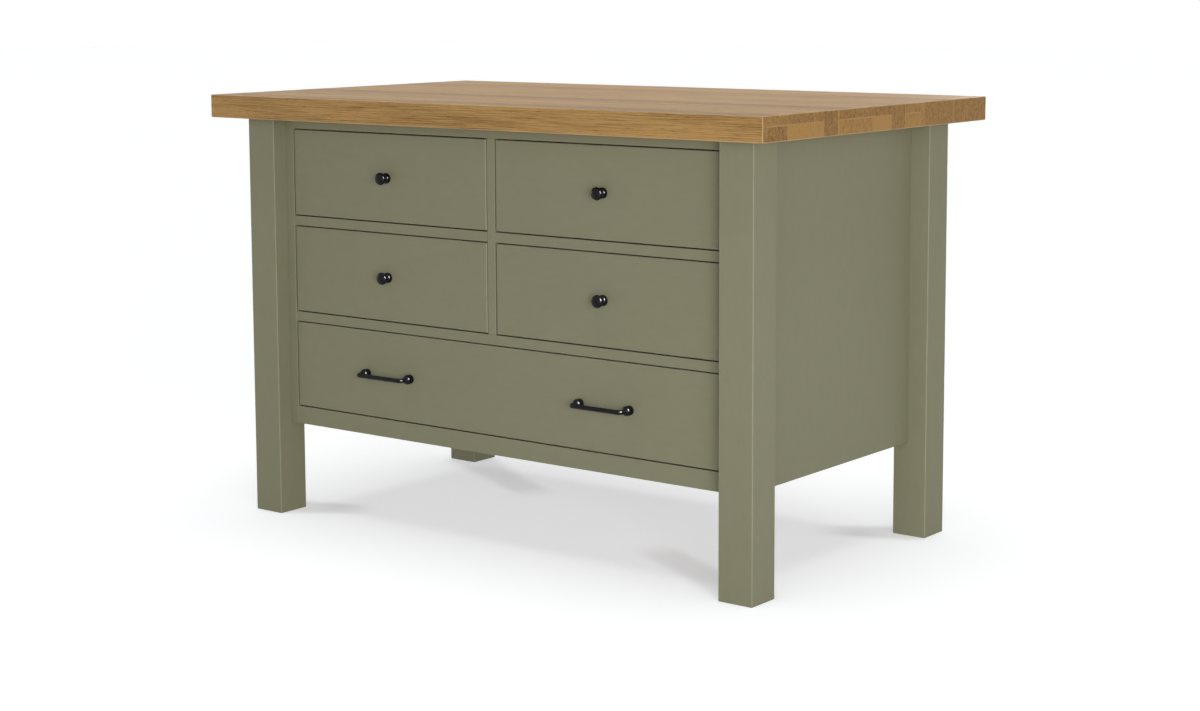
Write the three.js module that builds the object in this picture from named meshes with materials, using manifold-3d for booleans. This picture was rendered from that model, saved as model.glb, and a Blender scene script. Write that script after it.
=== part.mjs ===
// A free-standing kitchen island: an oak worktop on four square painted legs, with a face frame, five
// inset drawers on wooden runners, plain end and back panels, and black knobs and bar handles.
// Millimetres. +Z is up, +X runs along the drawer side to the right, and the drawers face -Y.
// The origin is on the floor under the middle of the worktop.

import * as THREE from 'three';
import { mergeVertices } from 'three/addons/utils/BufferGeometryUtils.js';
import Module from 'manifold-3d';

const wasm = await Module();
wasm.setup();

// ---------------------------------------------------------------- driving dimensions

const HEIGHT = 900;
const GAP = 0.3; // left between pieces that touch

const TOP_LENGTH = 1400;
const TOP_WIDTH = 820;
const TOP_THICK = 48;
const TOP_EASE = 2; // arris taken off the worktop's edges
const OVERHANG = 55;

const LEG = 75;
const LEG_EASE = 1.5;

const FRAME_RECESS = 36; // face frame, behind the front of the legs
const FRAME_THICK = 22;
const PANEL_RECESS = 42; // end panels, behind the outside of the legs
const PANEL_THICK = 18;
const SKIRT_HEIGHT = 195; // clear height under the frame and the panels

const STILE = 22;
const CENTRE_STILE = 20;
const MID_RAIL = 20;
const TOP_RAIL = 23;
const OPENING_HEIGHT = 185.5; // all three rows are alike

const BASE_THICK = 12;
const BASE_BOTTOM = 200.5;

const RUNNER_THICK = 32;
const RUNNER_BEARING = 25; // how far a runner reaches under a drawer side
const GUIDE_HEIGHT = 25;
const KICKER_DROP = 12; // how far a kicker hangs below the top rail
const CENTRE_RUNNER = 70;

const FRONT_THICK = 20;
const FRONT_CLEARANCE = 2.5; // round a drawer front, in its opening
const FRONT_EASE = 1.5;
const BOX_WALL = 12;
const BOX_HEIGHT = 170;
const BOX_DEPTH = 570; // from the front's face to the outside of the box's back
const BACK_DROP = 3; // the box's back is that much lower than its sides
const LAP = 7; // wood left in front of the lapped dovetails
const GROOVE_DEPTH = 6;
const GROOVE_RISE = 10; // under the bottom panel's groove
const SMALL_BOTTOM = 6;
const WIDE_BOTTOM = 9;
const MUNTIN = 60;

const TAILS = 4;
const TAIL_ROOT = 22;
const TAIL_END = 26;

const KNOB_PROJECTION = 26.5;
const KNOB_HEAD = 25.5; // diameter
const KNOB_ROSETTE = 21.5; // diameter
const KNOB_NECK = 10.5; // diameter

const HANDLE_OFFSET = 281.5; // from the middle of the wide drawer to the middle of a handle
const HANDLE_CENTRES = 120;
const HANDLE_STANDOFF = 31; // drawer face to the middle of the bar
const HANDLE_BAR = 9; // diameter
const HANDLE_BEND = 8.5;
const HANDLE_BARREL = 19.2; // diameter of the barrels at its feet
const BARREL_DEPTH = 17;
const BARREL_ROUND = 7; // rounding of a barrel's far end

// ---------------------------------------------------------------- places worked out from them

const LEG_TOP = HEIGHT - TOP_THICK - GAP;
const LEGS_X = TOP_LENGTH / 2 - OVERHANG; // outside of the legs
const LEGS_Y = TOP_WIDTH / 2 - OVERHANG;
const BETWEEN_X = LEGS_X - LEG; // inside faces of the legs
const BETWEEN_Y = LEGS_Y - LEG;
const FRAME_FRONT = -LEGS_Y + FRAME_RECESS;
const FRAME_BACK = FRAME_FRONT + FRAME_THICK;
const BACK_OUTSIDE = LEGS_Y - FRAME_RECESS;
const BACK_INSIDE = BACK_OUTSIDE - PANEL_THICK;
const PANEL_OUTSIDE = LEGS_X - PANEL_RECESS;
const PANEL_INSIDE = PANEL_OUTSIDE - PANEL_THICK;
const OPENING_X = BETWEEN_X - STILE; // outer edges of the drawer openings

// The floor of each row of drawers, counted down from the top rail.
const ROW_PITCH = OPENING_HEIGHT + MID_RAIL;
const TOP_ROW = HEIGHT - TOP_THICK - TOP_RAIL - OPENING_HEIGHT;
const MIDDLE_ROW = TOP_ROW - ROW_PITCH;
const WIDE_ROW = MIDDLE_ROW - ROW_PITCH;

const SMALL_OPENING = OPENING_X - CENTRE_STILE / 2;
const SMALL_CENTRE = (OPENING_X + CENTRE_STILE / 2) / 2;

// ---------------------------------------------------------------- finishes

const finish = {
  paint: { color: 0x7f7f69, roughness: 0.45, metalness: 0 },
  oak: { color: 0xa9835a, roughness: 0.55, metalness: 0 },
  boxwood: { color: 0xc9ab7f, roughness: 0.6, metalness: 0 },
  plywood: { color: 0xc2a98a, roughness: 0.65, metalness: 0 },
  black: { color: 0x15151a, roughness: 0.3, metalness: 0.8 },
};

// ---------------------------------------------------------------- shaping

const UP = new THREE.Vector3(0, 0, 1);
const RIGHT = new THREE.Vector3(1, 0, 0);
const BACK = new THREE.Vector3(0, 1, 0);

// An outline pushed along an axis. The outline is (y, z) for axis x, (x, z) for axis y and (x, y) for axis z.
function prism(axis, outline, from, to) {
  const shape = new THREE.Shape(outline.map(([u, v]) => new THREE.Vector2(u, v)));
  const geometry = new THREE.ExtrudeGeometry(shape, { depth: to - from, bevelEnabled: false });
  if (axis === 'x') {
    geometry.applyMatrix4(new THREE.Matrix4().makeBasis(BACK, UP, RIGHT));
    geometry.translate(from, 0, 0);
  } else if (axis === 'y') {
    geometry.applyMatrix4(new THREE.Matrix4().makeBasis(RIGHT, UP, BACK.clone().negate()));
    geometry.translate(0, to, 0);
  } else {
    geometry.translate(0, 0, from);
  }
  return geometry;
}

function rectangle(left, right, low, high) {
  return [[left, low], [right, low], [right, high], [left, high]];
}

// A square with its four corners cut off.
function easedSquare(side, ease) {
  const far = side / 2;
  const near = far - ease;
  return [
    [near, -far], [far, -near], [far, near], [near, far],
    [-near, far], [-far, near], [-far, -near], [-near, -far],
  ];
}

function block([x0, x1], [y0, y1], [z0, z1]) {
  return prism('z', rectangle(x0, x1, y0, y1), z0, z1);
}

function solid(geometry) {
  const bare = geometry.clone();
  bare.deleteAttribute('normal');
  bare.deleteAttribute('uv');
  const merged = mergeVertices(bare, 1e-4);
  return new wasm.Manifold(new wasm.Mesh({
    numProp: 3,
    vertProperties: new Float32Array(merged.attributes.position.array),
    triVerts: new Uint32Array(merged.index.array),
  }));
}

function geometryOf(body) {
  const mesh = body.getMesh();
  const geometry = new THREE.BufferGeometry();
  geometry.setAttribute('position', new THREE.BufferAttribute(mesh.vertProperties, 3));
  geometry.setIndex(new THREE.BufferAttribute(mesh.triVerts, 1));
  geometry.computeVertexNormals();
  return geometry;
}

// A geometry with others cut away from it, or joined to it.
function cut(geometry, cutters) {
  return geometryOf(cutters.reduce((rest, cutter) => rest.subtract(solid(cutter)), solid(geometry)));
}

function join(geometry, others) {
  return geometryOf(others.reduce((whole, other) => whole.add(solid(other)), solid(geometry)));
}

function piece(name, geometry, look, x = 0, y = 0, z = 0) {
  const mesh = new THREE.Mesh(geometry, new THREE.MeshStandardMaterial(finish[look]));
  mesh.name = name;
  mesh.position.set(x, y, z);
  return mesh;
}

// ---------------------------------------------------------------- worktop, legs and panels

// The worktop's upper and lower arrises are taken off, with mitred corners.
function worktop() {
  const halfLength = TOP_LENGTH / 2;
  const halfWidth = TOP_WIDTH / 2;
  const edge = (half) => [
    [-half, TOP_EASE], [-half + TOP_EASE, 0], [half - TOP_EASE, 0], [half, TOP_EASE],
    [half, TOP_THICK - TOP_EASE], [half - TOP_EASE, TOP_THICK],
    [-half + TOP_EASE, TOP_THICK], [-half, TOP_THICK - TOP_EASE],
  ];
  const lengthwise = solid(prism('x', edge(halfWidth), -halfLength, halfLength));
  const crosswise = solid(prism('y', edge(halfLength), -halfWidth, halfWidth));
  return piece('worktop', geometryOf(lengthwise.intersect(crosswise)), 'oak', 0, 0, HEIGHT - TOP_THICK);
}

function legs() {
  const places = [
    ['leg_front_left', -1, -1],
    ['leg_front_right', 1, -1],
    ['leg_rear_left', -1, 1],
    ['leg_rear_right', 1, 1],
  ];
  const offsetX = LEGS_X - LEG / 2;
  const offsetY = LEGS_Y - LEG / 2;
  return places.map(([name, sideX, sideY]) => {
    const geometry = prism('z', easedSquare(LEG, LEG_EASE), 0, LEG_TOP);
    return piece(name, geometry, 'paint', sideX * offsetX, sideY * offsetY, 0);
  });
}

function endPanel(name, side) {
  const depth = [-BETWEEN_Y + GAP, BETWEEN_Y - GAP];
  const height = [SKIRT_HEIGHT, LEG_TOP];
  const geometry = block([-PANEL_THICK / 2, PANEL_THICK / 2], depth, height);
  return piece(name, geometry, 'paint', side * (PANEL_INSIDE + PANEL_THICK / 2), 0, 0);
}

function backPanel() {
  const width = [-BETWEEN_X + GAP, BETWEEN_X - GAP];
  return piece('back_panel', block(width, [BACK_INSIDE, BACK_OUTSIDE], [SKIRT_HEIGHT, LEG_TOP]), 'paint');
}

// The base panel reaches the end panels between the legs, and is notched round the legs.
function basePanel() {
  const wide = PANEL_INSIDE - GAP;
  const narrow = BETWEEN_X - GAP;
  const notch = BETWEEN_Y - GAP;
  const front = FRAME_BACK + GAP;
  const back = BACK_INSIDE - GAP;
  const outline = [
    [-narrow, front], [narrow, front], [narrow, -notch], [wide, -notch],
    [wide, notch], [narrow, notch], [narrow, back], [-narrow, back],
    [-narrow, notch], [-wide, notch], [-wide, -notch], [-narrow, -notch],
  ];
  return piece('base_panel', prism('z', outline, BASE_BOTTOM, BASE_BOTTOM + BASE_THICK), 'plywood');
}

// ---------------------------------------------------------------- face frame

function faceFrame() {
  const depth = [FRAME_FRONT, FRAME_BACK];
  const span = [-OPENING_X + GAP, OPENING_X - GAP];
  const topRailFloor = TOP_ROW + OPENING_HEIGHT;
  const halfCentre = CENTRE_STILE / 2;
  const centreWidth = [-halfCentre, halfCentre];
  const centreHeight = [MIDDLE_ROW + GAP, topRailFloor - GAP];
  const shortSpan = [halfCentre + GAP, OPENING_X - GAP];
  const underTopRow = [TOP_ROW - MID_RAIL, TOP_ROW];
  const stileWidth = [OPENING_X, BETWEEN_X - GAP];
  const mirrored = ([near, far]) => [-far, -near];
  const fullHeight = [SKIRT_HEIGHT, LEG_TOP];
  return [
    piece('stile_left', block(mirrored(stileWidth), depth, fullHeight), 'paint'),
    piece('stile_right', block(stileWidth, depth, fullHeight), 'paint'),
    piece('top_rail', block(span, depth, [topRailFloor, LEG_TOP]), 'paint'),
    piece('bottom_rail', block(span, depth, [SKIRT_HEIGHT, WIDE_ROW]), 'paint'),
    piece('lower_mid_rail', block(span, depth, [MIDDLE_ROW - MID_RAIL, MIDDLE_ROW]), 'paint'),
    piece('centre_stile', block(centreWidth, depth, centreHeight), 'paint'),
    piece('upper_mid_rail_left', block(mirrored(shortSpan), depth, underTopRow), 'paint'),
    piece('upper_mid_rail_right', block(shortSpan, depth, underTopRow), 'paint'),
  ];
}

// ---------------------------------------------------------------- runners and kickers

// A side runner carries one side of a drawer, and its upstand guides the box. It is screwed to the legs.
function sideRunner(name, side, rowFloor, thick) {
  const inner = side * (OPENING_X - RUNNER_BEARING);
  const guide = side * OPENING_X;
  const outer = side * (BETWEEN_X - GAP);
  const outline = [
    [inner, rowFloor - thick], [outer, rowFloor - thick], [outer, rowFloor + GUIDE_HEIGHT],
    [guide, rowFloor + GUIDE_HEIGHT], [guide, rowFloor], [inner, rowFloor],
  ];
  return piece(name, prism('y', outline, FRAME_BACK + GAP, BACK_INSIDE - GAP), 'boxwood');
}

// A centre runner carries the near sides of two drawers, with the guide between them.
function centreRunner(name, rowFloor) {
  const half = CENTRE_RUNNER / 2;
  const guide = CENTRE_STILE / 2;
  const top = rowFloor + GUIDE_HEIGHT;
  const outline = [
    [-half, rowFloor - RUNNER_THICK], [half, rowFloor - RUNNER_THICK], [half, rowFloor], [guide, rowFloor],
    [guide, top], [-guide, top], [-guide, rowFloor], [-half, rowFloor],
  ];
  return piece(name, prism('y', outline, FRAME_BACK + GAP, BACK_INSIDE - GAP), 'boxwood');
}

function kicker(name, [x0, x1]) {
  const height = [TOP_ROW + OPENING_HEIGHT - KICKER_DROP, LEG_TOP];
  return piece(name, block([x0, x1], [FRAME_BACK + GAP, BACK_INSIDE - GAP], height), 'boxwood');
}

function runners() {
  const wideThick = WIDE_ROW - BASE_BOTTOM - BASE_THICK - GAP;
  const kickerInner = OPENING_X - RUNNER_BEARING;
  const kickerOuter = BETWEEN_X - GAP;
  return [
    sideRunner('top_runner_left', -1, TOP_ROW, RUNNER_THICK),
    sideRunner('top_runner_right', 1, TOP_ROW, RUNNER_THICK),
    centreRunner('top_runner_centre', TOP_ROW),
    sideRunner('middle_runner_left', -1, MIDDLE_ROW, RUNNER_THICK),
    sideRunner('middle_runner_right', 1, MIDDLE_ROW, RUNNER_THICK),
    centreRunner('middle_runner_centre', MIDDLE_ROW),
    sideRunner('bottom_runner_left', -1, WIDE_ROW, wideThick),
    sideRunner('bottom_runner_right', 1, WIDE_ROW, wideThick),
    kicker('kicker_left', [-kickerOuter, -kickerInner]),
    kicker('kicker_centre', [-CENTRE_RUNNER / 2, CENTRE_RUNNER / 2]),
    kicker('kicker_right', [kickerInner, kickerOuter]),
  ];
}

// ---------------------------------------------------------------- drawers

// A drawer's own frame: x = 0 in the middle, y = 0 at the front's face, z = 0 under the sides.

// The corners of one dovetail, seen from the side. It leaves the shoulder at y = root and ends at y = end.
function tail(index, root, end, slack = 0) {
  const middle = (index + 0.5) * (BOX_HEIGHT / TAILS);
  const halfRoot = TAIL_ROOT / 2 + slack;
  const halfEnd = TAIL_END / 2 + slack;
  return [
    [root, middle - halfRoot], [end, middle - halfEnd],
    [end, middle + halfEnd], [root, middle + halfRoot],
  ];
}

const FRONT_SHOULDER = FRONT_THICK + GAP;
const FRONT_TAIL_END = LAP + GAP;
const BACK_SHOULDER = BOX_DEPTH - BOX_WALL - GAP;

const tailNumbers = [...Array(TAILS).keys()];

// One side of a drawer box: lapped tails into the front, through tails into the back, and the groove.
function drawerSide(name, side, halfWidth, bottomThick) {
  const backTails = tailNumbers.flatMap((n) => tail(n, BACK_SHOULDER, BOX_DEPTH));
  const frontTails = tailNumbers.flatMap((n) => tail(n, FRONT_SHOULDER, FRONT_TAIL_END));
  const outline = [
    [FRONT_SHOULDER, 0], [BACK_SHOULDER, 0], ...backTails,
    [BACK_SHOULDER, BOX_HEIGHT], [FRONT_SHOULDER, BOX_HEIGHT], ...frontTails.reverse(),
  ];
  const board = prism('x', outline, -BOX_WALL / 2, BOX_WALL / 2);
  const inside = -side * BOX_WALL / 2;
  const grooveX = [inside - GROOVE_DEPTH, inside + GROOVE_DEPTH];
  const groove = block(grooveX, [0, BOX_DEPTH + 1], [GROOVE_RISE, GROOVE_RISE + bottomThick + 2 * GAP]);
  return piece(name, cut(board, [groove]), 'boxwood', side * (halfWidth - BOX_WALL / 2), 0, 0);
}

// Cutters for the sockets that the tails of both sides fill, a little larger than the tails.
function sockets(halfWidth, root, end) {
  const inner = halfWidth - BOX_WALL - GAP;
  return tailNumbers.flatMap((n) => [
    prism('x', tail(n, root, end, GAP), inner, halfWidth + 1),
    prism('x', tail(n, root, end, GAP), -halfWidth - 1, -inner),
  ]);
}

// The front: its outer edges are eased, its back has the sockets and the groove for the bottom.
function drawerFront(name, halfWidth, bottomThick) {
  const low = FRONT_CLEARANCE - GAP;
  const high = OPENING_HEIGHT - FRONT_CLEARANCE - GAP;
  const ease = FRONT_EASE;
  const upright = [
    [ease, low], [FRONT_THICK, low], [FRONT_THICK, high], [ease, high], [0, high - ease], [0, low + ease],
  ];
  const flat = [
    [-halfWidth + ease, 0], [halfWidth - ease, 0], [halfWidth, ease],
    [halfWidth, FRONT_THICK], [-halfWidth, FRONT_THICK], [-halfWidth, ease],
  ];
  const sideOn = solid(prism('x', upright, -halfWidth, halfWidth));
  const board = sideOn.intersect(solid(prism('z', flat, low, high)));
  const grooveEnd = halfWidth - BOX_WALL + GROOVE_DEPTH;
  const grooveDepth = [FRONT_THICK - GROOVE_DEPTH, FRONT_THICK + 1];
  const grooveHeight = [GROOVE_RISE, GROOVE_RISE + bottomThick + 2 * GAP];
  const groove = block([-grooveEnd, grooveEnd], grooveDepth, grooveHeight);
  const cutters = [...sockets(halfWidth, FRONT_THICK + 1, LAP), groove];
  return piece(name, cut(geometryOf(board), cutters), 'paint');
}

// The back stands on the bottom panel, lower than the sides, with pins between their tails.
function drawerBack(name, halfWidth, bottomThick) {
  const height = [GROOVE_RISE + bottomThick + 2 * GAP, BOX_HEIGHT - BACK_DROP];
  const board = block([-halfWidth, halfWidth], [BOX_DEPTH - BOX_WALL, BOX_DEPTH], height);
  return piece(name, cut(board, sockets(halfWidth, BACK_SHOULDER, BOX_DEPTH + 1)), 'boxwood');
}

function drawerBottom(name, halfWidth, thick) {
  const reach = halfWidth - BOX_WALL + GROOVE_DEPTH - GAP;
  const depth = [FRONT_THICK - GROOVE_DEPTH + GAP, BOX_DEPTH - GAP];
  const low = GROOVE_RISE + GAP;
  return piece(name, block([-reach, reach], depth, [low, low + thick]), 'plywood');
}

function knob(name, x, z) {
  const head = KNOB_HEAD / 2;
  const base = KNOB_ROSETTE / 2;
  const neck = KNOB_NECK / 2;
  const crown = 6.5; // height of the head's domed face
  const belly = KNOB_PROJECTION - crown; // where the head is widest
  const rosette = [[0, 0], [base, 0], [base, 3.5], [base - 1.2, 6.8], [base - 3.6, 9.4]];
  const waist = [[neck + 0.4, 10.8], [neck, 12.4]];
  const underside = [[head - 4, belly - 6], [head - 1, belly - 3], [head, belly]];
  const rings = 4;
  const dome = [...Array(rings).keys()].map((n) => {
    const angle = ((n + 1) / (rings + 1)) * Math.PI / 2;
    return [head * Math.cos(angle), belly + crown * Math.sin(angle)];
  });
  const outline = [...rosette, ...waist, ...underside, ...dome, [0, KNOB_PROJECTION]];
  const geometry = new THREE.LatheGeometry(outline.map(([r, h]) => new THREE.Vector2(r, h)), 20);
  geometry.rotateX(Math.PI);
  return piece(name, geometry, 'black', x, 0, z);
}

// The middle line of a bar handle: out of one barrel, round a bend, along, and back into the other.
class HandleLine extends THREE.CurvePath {
  constructor(start) {
    super();
    const post = HANDLE_CENTRES / 2;
    const bend = HANDLE_BEND;
    const bar = -HANDLE_STANDOFF;
    const corner = bar + bend;
    const at = (x, y) => new THREE.Vector3(x, y, 0);
    this.add(new THREE.LineCurve3(at(-post, start), at(-post, corner)));
    this.add(new THREE.QuadraticBezierCurve3(at(-post, corner), at(-post, bar), at(-post + bend, bar)));
    this.add(new THREE.LineCurve3(at(-post + bend, bar), at(post - bend, bar)));
    this.add(new THREE.QuadraticBezierCurve3(at(post - bend, bar), at(post, bar), at(post, corner)));
    this.add(new THREE.LineCurve3(at(post, corner), at(post, start)));
  }
}

function handle(name, x, z) {
  const section = new THREE.Shape().absarc(0, 0, HANDLE_BAR / 2, 0, 2 * Math.PI);
  const bar = new THREE.ExtrudeGeometry(section, {
    steps: 36,
    curveSegments: 5,
    extrudePath: new HandleLine(-BARREL_DEPTH / 2),
  });
  const radius = HANDLE_BARREL / 2;
  const steps = 4;
  const rounding = [...Array(steps + 1).keys()].map((n) => {
    const angle = (n / steps) * Math.PI / 2;
    const inset = BARREL_ROUND * (1 - Math.cos(angle));
    return [radius - inset, BARREL_DEPTH - BARREL_ROUND * (1 - Math.sin(angle))];
  });
  const outline = [[0, 0], [radius, 0], ...rounding, [0, BARREL_DEPTH]];
  const barrels = [-1, 1].map((side) => {
    const barrel = new THREE.LatheGeometry(outline.map(([r, h]) => new THREE.Vector2(r, h)), 16);
    barrel.rotateX(Math.PI);
    barrel.translate(side * HANDLE_CENTRES / 2, 0, 0);
    return barrel;
  });
  return piece(name, join(bar, barrels), 'black', x, 0, z);
}

// A drawer, without its knob or handles, placed in an opening.
function drawer(name, centreX, rowFloor, openingWidth, bottomThick) {
  const halfWidth = openingWidth / 2 - FRONT_CLEARANCE;
  const group = new THREE.Group();
  group.add(
    drawerFront(`${name}_front`, halfWidth, bottomThick),
    drawerSide(`${name}_side_left`, -1, halfWidth, bottomThick),
    drawerSide(`${name}_side_right`, 1, halfWidth, bottomThick),
    drawerBack(`${name}_back`, halfWidth, bottomThick),
    drawerBottom(`${name}_bottom`, halfWidth, bottomThick),
  );
  group.position.set(centreX, FRAME_FRONT, rowFloor + GAP);
  return group;
}

const PULL_HEIGHT = OPENING_HEIGHT / 2 - GAP;

function smallDrawers() {
  const rows = [['top', TOP_ROW], ['middle', MIDDLE_ROW]];
  const sides = [['left', -SMALL_CENTRE], ['right', SMALL_CENTRE]];
  return rows.flatMap(([row, floor]) => sides.map(([side, centre]) => {
    const name = `${row}_${side}_drawer`;
    const group = drawer(name, centre, floor, SMALL_OPENING, SMALL_BOTTOM);
    const pull = knob(`${name}_knob`, 0, PULL_HEIGHT);
    pull.position.y = -GAP;
    group.add(pull);
    return group;
  }));
}

function wideDrawer() {
  const group = drawer('wide_drawer', 0, WIDE_ROW, 2 * OPENING_X, WIDE_BOTTOM);
  const muntinDepth = [FRONT_THICK + GAP, BOX_DEPTH - GAP];
  const muntin = block([-MUNTIN / 2, MUNTIN / 2], muntinDepth, [0, GROOVE_RISE]);
  group.add(piece('wide_drawer_muntin', muntin, 'boxwood'));
  for (const [side, x] of [['left', -HANDLE_OFFSET], ['right', HANDLE_OFFSET]]) {
    const pull = handle(`wide_drawer_handle_${side}`, x, PULL_HEIGHT);
    pull.position.y = -GAP;
    group.add(pull);
  }
  return group;
}

// ---------------------------------------------------------------- the island

const island = new THREE.Group();
island.add(
  worktop(),
  ...legs(),
  ...faceFrame(),
  endPanel('end_panel_left', -1),
  endPanel('end_panel_right', 1),
  backPanel(),
  basePanel(),
  ...runners(),
  ...smallDrawers(),
  wideDrawer(),
);

export default island;
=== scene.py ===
import math
import random

import bmesh
import bpy
from mathutils import Matrix, Vector

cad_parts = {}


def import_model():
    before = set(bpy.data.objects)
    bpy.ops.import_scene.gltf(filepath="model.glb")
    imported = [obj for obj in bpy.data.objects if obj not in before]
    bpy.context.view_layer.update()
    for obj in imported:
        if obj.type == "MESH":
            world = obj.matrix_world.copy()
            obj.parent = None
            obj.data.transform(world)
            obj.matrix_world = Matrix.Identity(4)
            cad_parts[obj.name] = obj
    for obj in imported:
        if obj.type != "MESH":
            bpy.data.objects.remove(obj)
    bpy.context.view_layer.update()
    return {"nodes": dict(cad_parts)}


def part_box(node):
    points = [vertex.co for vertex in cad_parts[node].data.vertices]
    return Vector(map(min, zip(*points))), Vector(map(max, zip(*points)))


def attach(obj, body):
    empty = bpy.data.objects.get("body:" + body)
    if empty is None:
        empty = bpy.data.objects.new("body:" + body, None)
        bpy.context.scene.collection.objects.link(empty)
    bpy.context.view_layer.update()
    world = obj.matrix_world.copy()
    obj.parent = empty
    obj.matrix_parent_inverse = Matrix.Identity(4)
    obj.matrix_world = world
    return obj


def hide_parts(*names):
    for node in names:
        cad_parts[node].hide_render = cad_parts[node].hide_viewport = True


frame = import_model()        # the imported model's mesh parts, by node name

MM = 0.001

# ------------------------------------------------------------------ camera

CAMERA_PLACE = Vector((2.8111, -3.6121, 1.1275))
CAMERA_YAW = 37.64      # degrees that the view is turned to the left of +Y
CAMERA_PITCH = -6.798   # degrees, downwards
CAMERA_ROLL = -0.235
CAMERA_LENS = 66.08     # mm
CAMERA_SENSOR = 36      # mm wide
CAMERA_SHIFT = -0.09    # of the picture's width


def make_camera():
    """The camera, where the straight edges of the worktop, legs and drawers say that it stood."""
    yaw, pitch, roll = (math.radians(a) for a in (CAMERA_YAW, CAMERA_PITCH, CAMERA_ROLL))
    ahead = Vector((-math.sin(yaw) * math.cos(pitch), math.cos(yaw) * math.cos(pitch), math.sin(pitch)))
    level = Vector((math.cos(yaw), math.sin(yaw), 0))
    upright = level.cross(ahead)
    right = level * math.cos(roll) + upright * math.sin(roll)
    up = upright * math.cos(roll) - level * math.sin(roll)
    data = bpy.data.cameras.new("camera")
    data.lens = CAMERA_LENS
    data.sensor_width = CAMERA_SENSOR
    data.shift_y = CAMERA_SHIFT
    camera = bpy.data.objects.new("camera", data)
    turn = Matrix((right, up, -ahead)).transposed()
    camera.matrix_world = Matrix.Translation(CAMERA_PLACE) @ turn.to_4x4()
    bpy.context.scene.collection.objects.link(camera)
    bpy.context.scene.camera = camera


# ------------------------------------------------------------------ nodes in general


def srgb(red, green, blue):
    """A colour given as the 0 to 255 values that a screen shows."""
    def linear(value):
        value /= 255
        return value / 12.92 if value <= 0.04045 else ((value + 0.055) / 1.055) ** 2.4
    return (linear(red), linear(green), linear(blue), 1.0)


def feed(tree, node, inputs):
    """Links a node's inputs to sockets, or sets them to values."""
    for name, value in inputs.items():
        if isinstance(value, bpy.types.NodeSocket):
            tree.links.new(value, node.inputs[name])
        else:
            node.inputs[name].default_value = value


def add(tree, kind, inputs=None, **settings):
    """Adds a node, sets its properties, and links or sets its inputs."""
    node = tree.nodes.new(kind)
    for name, value in settings.items():
        setattr(node, name, value)
    feed(tree, node, inputs or {})
    return node


def maths(tree, operation, *values, **settings):
    inputs = dict(enumerate(values))
    return add(tree, "ShaderNodeMath", inputs, operation=operation, **settings).outputs[0]


def vector_maths(tree, operation, *values, output="Vector"):
    inputs = dict(enumerate(values))
    return add(tree, "ShaderNodeVectorMath", inputs, operation=operation).outputs[output]


def times(tree, first, second):
    return maths(tree, "MULTIPLY", first, second)


def total(tree, *shares):
    """Adds up values, each times its share."""
    result = times(tree, *shares[0])
    for value, share in shares[1:]:
        result = maths(tree, "ADD", result, times(tree, value, share))
    return result


def blend_colours(tree, share, first, second):
    inputs = {0: share, 6: first, 7: second}
    return add(tree, "ShaderNodeMix", inputs, data_type="RGBA").outputs[2]


def noise(tree, place, scale=1.0, detail=2.0, roughness=0.5, output="Fac"):
    inputs = {"Vector": place, "Scale": scale, "Detail": detail, "Roughness": roughness}
    return add(tree, "ShaderNodeTexNoise", inputs).outputs[output]


def stretched_noise(tree, place, stretch, detail=2.0, roughness=0.5, output="Fac"):
    """Noise with a scale of its own along each axis."""
    scaled = vector_maths(tree, "MULTIPLY", place, stretch)
    return noise(tree, scaled, 1.0, detail, roughness, output)


def spread(tree, value, low, high, to_low=0.0, to_high=1.0, **settings):
    """Maps a value from one range to another, clamped."""
    inputs = {0: value, 1: low, 2: high, 3: to_low, 4: to_high}
    return add(tree, "ShaderNodeMapRange", inputs, **settings).outputs[0]


def new_group(name, inputs, outputs):
    """A shader node group with named sockets. Returns its tree and its input and output nodes."""
    tree = bpy.data.node_groups.new(name, "ShaderNodeTree")
    for label, kind, default in inputs:
        socket = tree.interface.new_socket(label, in_out="INPUT", socket_type="NodeSocket" + kind)
        socket.default_value = default
    for label, kind in outputs:
        tree.interface.new_socket(label, in_out="OUTPUT", socket_type="NodeSocket" + kind)
    return tree, tree.nodes.new("NodeGroupInput").outputs, tree.nodes.new("NodeGroupOutput").inputs


def put(tree, group, inputs):
    """Places a node group in a material."""
    return add(tree, "ShaderNodeGroup", node_tree=group, inputs=inputs).outputs


def attribute(tree, name, output="Fac"):
    return add(tree, "ShaderNodeAttribute", attribute_name=name).outputs[output]


def object_place(tree):
    return add(tree, "ShaderNodeTexCoord").outputs["Object"]


def part_of(tree, vector, axis):
    """One of a vector's three parts."""
    return add(tree, "ShaderNodeSeparateXYZ", {0: vector}).outputs["xyz".index(axis)]


def seen(tree):
    """1 where a surface or the world is seen, directly, in a gloss or through glass, and 0 elsewhere."""
    rays = add(tree, "ShaderNodeLightPath").outputs
    direct = maths(tree, "MAXIMUM", rays["Is Camera Ray"], rays["Is Glossy Ray"])
    return maths(tree, "MAXIMUM", direct, rays["Is Transmission Ray"])


# ------------------------------------------------------------------ effects that materials share


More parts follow.
